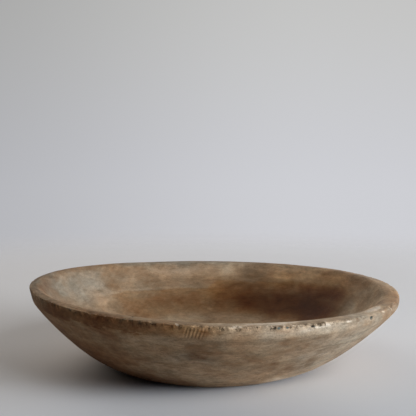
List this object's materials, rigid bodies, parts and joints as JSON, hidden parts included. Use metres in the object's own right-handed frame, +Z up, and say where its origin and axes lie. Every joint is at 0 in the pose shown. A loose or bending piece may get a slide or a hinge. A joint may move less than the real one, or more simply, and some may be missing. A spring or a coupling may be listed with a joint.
{
  "type": "carved wooden bowl",
  "caption": "Shallow round bowl carved by hand from one block of wood, with a thick flat-topped rim and a flat foot.",
  "frame": {"origin": "on the surface that the bowl stands on, under the middle of the bowl's box", "axes": "+Z up, out of the bowl's mouth; +Y to the back; +X to the right, where the rim is lowest"},
  "size_m": [0.3008, 0.2988, 0.0685],
  "materials": {
    "aged_wood": "dry and matt, worn and stained by age"
  },
  "bodies": {
    "root": {"bowl": "aged_wood"}
  },
  "joints": []
}
